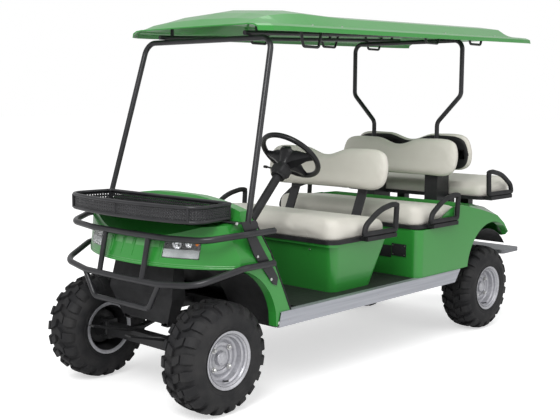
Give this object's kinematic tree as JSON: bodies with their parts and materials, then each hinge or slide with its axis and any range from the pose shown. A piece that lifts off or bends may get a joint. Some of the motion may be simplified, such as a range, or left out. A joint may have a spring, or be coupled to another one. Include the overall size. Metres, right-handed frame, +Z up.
{
  "type": "golf cart",
  "caption": "Electric utility golf cart with three bench rows, a long roof on tube hoops, a front basket, a brush guard, off-road tyres, steered front wheels and lifting seats.",
  "frame": {"origin": "on the ground, under the middle of the cart's overall length, on its centre plane", "axes": "-Y is the cart's front, +X the driver's left, +Z up"},
  "size_m": [1.2646, 3.455, 2.0528],
  "materials": {
    "tyre": "moulded rubber",
    "rim_silver": "satin silver paint",
    "sill_aluminium": "satin",
    "body_green": "glossy green",
    "seat_vinyl": "soft matt vinyl",
    "black_plastic": "fine grain",
    "black_steel": "satin powder coat",
    "chassis_steel": "matt paint",
    "floor_rubber": "ribbed mat",
    "deck_black": "matt paint",
    "step_grey": "grey plate, black edge",
    "lamp_lens": "clear lens",
    "battery_case": "plain case"
  },
  "bodies": {
    "cart": {"back_posts": "black_steel", "back_shell_1": "black_plastic", "back_shell_2": "black_plastic", "back_shell_3": "black_plastic", "back_supports": "black_steel", "basket": "black_steel", "battery_block": "battery_case", "bench_supports": "black_steel", "chassis_frame": "chassis_steel", "dashboard": "black_plastic", "firewall": "black_plastic", "floor_deck": "deck_black", "floor_mat": "floor_rubber", "front_apron": "black_plastic", "front_axle": "chassis_steel", "front_cowl": "body_green", "front_liners": "black_plastic", "front_roof_frame": "black_steel", "grab_handles": "black_steel", "guard_brackets": "black_steel", "guard_lower_bar": "black_steel", "guard_upper_bar": "black_steel", "headlamps": "lamp_lens", "hip_rests_3": "black_plastic", "leaf_springs": "chassis_steel", "rear_axle": "chassis_steel", "rear_body": "body_green", "rear_liners": "black_plastic", "rear_roof_frame": "black_steel", "rear_step": "step_grey", "roof": "body_green", "roof_rails": "black_steel", "seat_back_1": "seat_vinyl", "seat_back_2": "seat_vinyl", "seat_back_3": "seat_vinyl", "seat_base_3": "black_plastic", "seat_cushion_3": "seat_vinyl", "seat_pod": "body_green", "sills": "sill_aluminium", "steering_column": "black_plastic"},
    "knuckle_left": {"knuckle_left": "chassis_steel"},
    "knuckle_right": {"knuckle_right": "chassis_steel"},
    "wheel_front_left": {"tyre_front_left": "tyre", "rim_front_left": "rim_silver"},
    "wheel_front_right": {"tyre_front_right": "tyre", "rim_front_right": "rim_silver"},
    "wheel_rear_left": {"tyre_rear_left": "tyre", "rim_rear_left": "rim_silver", "hub_rear_left": "chassis_steel"},
    "wheel_rear_right": {"tyre_rear_right": "tyre", "rim_rear_right": "rim_silver", "hub_rear_right": "chassis_steel"},
    "steering_wheel": {"steering_wheel": "black_plastic"},
    "seat_lid_1": {"seat_base_1": "black_plastic", "seat_cushion_1": "seat_vinyl", "hip_rests_1": "black_plastic"},
    "seat_lid_2": {"seat_base_2": "black_plastic", "seat_cushion_2": "seat_vinyl", "hip_rests_2": "black_plastic"}
  },
  "joints": [
    {"name": "steer_left", "type": "hinge", "parent": "cart", "child": "knuckle_left", "pos_m": [0.385, -1.4475, 0.28], "axis": [0, 0, 1], "range_deg": [-30, 30]},
    {"name": "steer_right", "type": "hinge", "parent": "cart", "child": "knuckle_right", "pos_m": [-0.385, -1.4475, 0.28], "axis": [0, 0, 1], "range_deg": [-30, 30]},
    {"name": "spin_front_left", "type": "hinge", "parent": "knuckle_left", "child": "wheel_front_left", "pos_m": [0.47, -1.4475, 0.28], "axis": [1, 0, 0], "continuous": true},
    {"name": "spin_rear_left", "type": "hinge", "parent": "cart", "child": "wheel_rear_left", "pos_m": [0.47, 0.9855, 0.28], "axis": [1, 0, 0], "continuous": true},
    {"name": "spin_front_right", "type": "hinge", "parent": "knuckle_right", "child": "wheel_front_right", "pos_m": [-0.47, -1.4475, 0.28], "axis": [1, 0, 0], "continuous": true},
    {"name": "spin_rear_right", "type": "hinge", "parent": "cart", "child": "wheel_rear_right", "pos_m": [-0.47, 0.9855, 0.28], "axis": [1, 0, 0], "continuous": true},
    {"name": "steering_turn", "type": "hinge", "parent": "cart", "child": "steering_wheel", "pos_m": [0.27, -0.6775, 1.225], "axis": [0, 0.682, 0.7314], "range_deg": [-270, 270]},
    {"name": "lid_1", "type": "hinge", "parent": "cart", "child": "seat_lid_1", "pos_m": [0, -0.6755, 0.752], "axis": [1, 0, 0], "range_deg": [0, 40]},
    {"name": "lid_2", "type": "hinge", "parent": "cart", "child": "seat_lid_2", "pos_m": [0, 0.1125, 0.76], "axis": [1, 0, 0], "range_deg": [0, 60]}
  ],
  "couplings": [
    {"joint": "steer_right", "follows": "steer_left", "ratio": 1},
    {"joint": "steering_turn", "follows": "steer_left", "ratio": 9}
  ]
}
